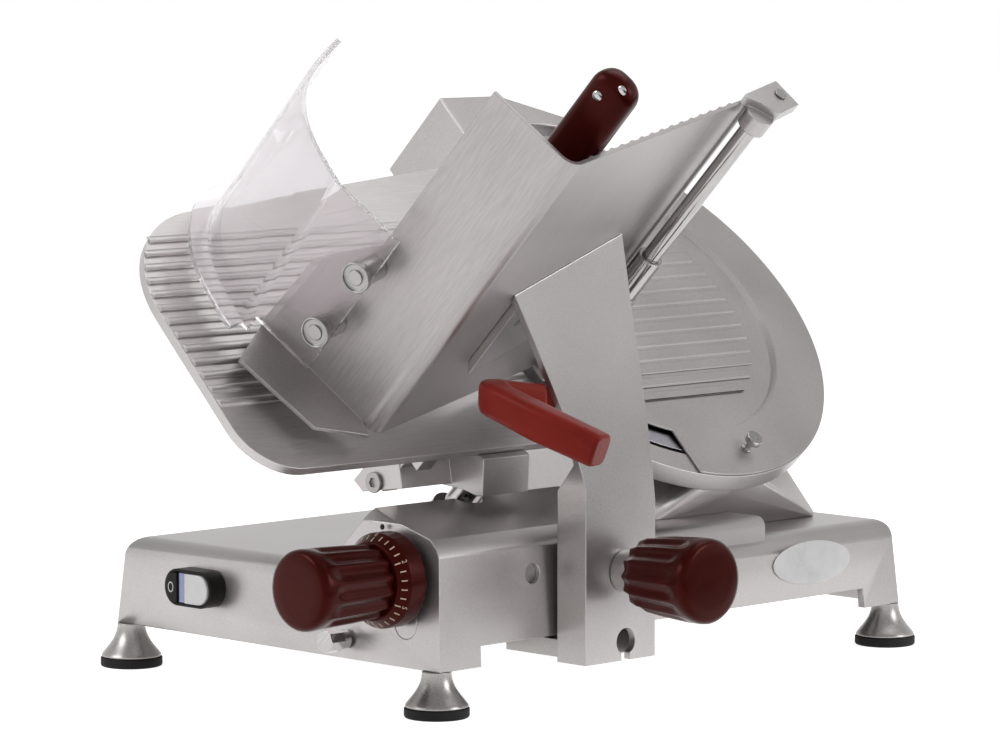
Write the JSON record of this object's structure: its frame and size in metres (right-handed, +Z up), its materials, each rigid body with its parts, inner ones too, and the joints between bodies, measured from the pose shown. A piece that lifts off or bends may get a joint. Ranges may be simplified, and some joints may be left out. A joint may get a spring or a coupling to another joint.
{
  "type": "gravity feed meat slicer",
  "caption": "Bench slicer with a leaning round blade, ribbed gauge plate, angled product tray on a sliding carriage, clear thumb guard and red knobs.",
  "frame": {"origin": "middle of the bounding box, on the surface that the four rubber pads stand on", "axes": "+X to the operator's right, +Y along the carriage travel away from the operator, +Z up"},
  "size_m": [0.5258, 0.627, 0.4667],
  "materials": {
    "cast_satin": "satin ground cast aluminium",
    "sheet_satin": "brushed aluminium sheet",
    "gauge_satin": "brushed ribbed aluminium plate",
    "bare_alloy": "machined alloy",
    "blade_steel": "ground chromed tool steel",
    "steel": "machined steel",
    "bright_steel": "polished steel",
    "brass": "turned brass",
    "pad_rubber": "moulded black rubber",
    "belt_rubber": "black belt rubber",
    "black_plastic": "fine grained black plastic",
    "red_plastic": "glossy dark red plastic",
    "bright_red_plastic": "satin red plastic",
    "pale_button": "glossy pale plastic",
    "lamp_lens": "clear blue tinted lens",
    "white_plate": "white enamel",
    "motor_paint": "dark grey paint",
    "clear_sheet": "clear bent plastic sheet",
    "stone_grit": "bonded abrasive"
  },
  "bodies": {
    "frame": {"base_casting": "cast_satin", "bottom_plate": "bare_alloy", "foot_cones": "bare_alloy", "foot_pads": "pad_rubber", "switch_bezel": "black_plastic", "switch_block": "black_plastic", "pilot_lamp": "lamp_lens", "blank_plate": "white_plate", "side_plug": "black_plastic", "cable_gland": "black_plastic", "drive_pedestal": "cast_satin", "motor": "motor_paint", "drive_belt": "belt_rubber", "blade_bearings": "steel", "ring_guard": "sheet_satin", "blade_cover": "sheet_satin", "slice_deflector": "sheet_satin", "sharpener_bracket": "bare_alloy", "sharpener_cover": "sheet_satin", "gauge_bushing": "brass", "dial_bushing": "brass", "guide_rail": "bright_steel", "guide_bar": "bright_steel"},
    "stop_button_body": {"stop_button": "black_plastic"},
    "start_button_body": {"start_button": "pale_button"},
    "blade_rotor": {"blade": "blade_steel", "blade_hub": "bare_alloy", "blade_screws": "steel"},
    "motor_rotor": {"motor_pulley": "bare_alloy"},
    "cover_pin_body": {"cover_pin": "bright_steel"},
    "grinding_body": {"grinding_stone": "stone_grit"},
    "honing_body": {"honing_stone": "stone_grit"},
    "gauge": {"gauge_plate": "gauge_satin", "gauge_bracket": "cast_satin", "gauge_screw": "steel", "gauge_shaft": "steel"},
    "dial": {"dial_shaft": "steel", "dial_disc": "red_plastic", "dial_knob": "red_plastic"},
    "small_knob_body": {"small_knob": "bright_steel"},
    "carriage": {"carriage_block": "bare_alloy", "carriage_bracket": "bare_alloy", "carriage_arm": "cast_satin", "arm_ferrule": "bare_alloy", "carriage_handle": "bright_red_plastic", "handle_screws": "steel", "product_tray": "sheet_satin", "tray_screws": "steel", "rod_foot": "bare_alloy", "end_bracket": "cast_satin", "end_screw": "steel", "pusher_rod": "bright_steel", "thumb_guard": "clear_sheet", "guard_standoffs": "bare_alloy", "guard_screws": "steel"},
    "lock_knob_body": {"lock_knob": "red_plastic"},
    "pusher_slider": {"pusher_sleeve": "bare_alloy"},
    "pusher": {"pusher_arm": "bare_alloy", "pusher_grip": "red_plastic", "grip_screws": "steel"}
  },
  "joints": [
    {"name": "carriage_slide", "type": "slide", "parent": "frame", "child": "carriage", "axis": [0, 1, 0], "range_m": [0, 0.26]},
    {"name": "dial_turn", "type": "hinge", "parent": "frame", "child": "dial", "pos_m": [0.0515, -0.191, 0.094], "axis": [0, 1, 0], "range_deg": [-140, 160]},
    {"name": "gauge_slide", "type": "slide", "parent": "frame", "child": "gauge", "axis": [0.7071, 0, 0.7071], "range_m": [-0.007, 0.008]},
    {"name": "blade_spin", "type": "hinge", "parent": "frame", "child": "blade_rotor", "pos_m": [-0.02906, 0.1272, 0.2641], "axis": [0.7071, 0, 0.7071], "continuous": true},
    {"name": "motor_spin", "type": "hinge", "parent": "frame", "child": "motor_rotor", "pos_m": [0.01442, 0.1445, 0.16546], "axis": [0.7071, 0, 0.7071], "continuous": true},
    {"name": "lock_knob_turn", "type": "hinge", "parent": "carriage", "child": "lock_knob_body", "pos_m": [0.1255, -0.0405, 0.092], "axis": [1, 0, 0], "range_deg": [0, 360]},
    {"name": "pusher_slide", "type": "slide", "parent": "carriage", "child": "pusher_slider", "axis": [0.7071, 0, 0.7071], "range_m": [-0.038, 0.12]},
    {"name": "pusher_swing", "type": "hinge", "parent": "pusher_slider", "child": "pusher", "pos_m": [0.07876, 0.00352, 0.28073], "axis": [-0.7071, 0, -0.7071], "range_deg": [0, 110]},
    {"name": "stop_press", "type": "slide", "parent": "frame", "child": "stop_button_body", "axis": [0, 1, 0], "range_m": [0, 0.0025], "stiffness_N_per_m": 600},
    {"name": "start_press", "type": "slide", "parent": "frame", "child": "start_button_body", "axis": [0, 1, 0], "range_m": [0, 0.0025], "stiffness_N_per_m": 600},
    {"name": "grinding_press", "type": "slide", "parent": "frame", "child": "grinding_body", "axis": [0.7071, 0, 0.7071], "range_m": [0, 0.004], "stiffness_N_per_m": 500},
    {"name": "honing_press", "type": "slide", "parent": "frame", "child": "honing_body", "axis": [0.7071, 0, 0.7071], "range_m": [0, 0.004], "stiffness_N_per_m": 500},
    {"name": "small_knob_turn", "type": "hinge", "parent": "frame", "child": "small_knob_body", "pos_m": [-0.0005, -0.191, 0.046], "axis": [0, 1, 0], "range_deg": [0, 180]},
    {"name": "cover_pin_turn", "type": "hinge", "parent": "frame", "child": "cover_pin_body", "pos_m": [0.08226, 0.14019, 0.16551], "axis": [0.7071, 0, 0.7071], "range_deg": [0, 360]}
  ],
  "couplings": [
    {"joint": "dial_turn", "follows": "gauge_slide", "rad_per_m": 349.04},
    {"joint": "motor_spin", "follows": "blade_spin", "ratio": 2.4706}
  ]
}
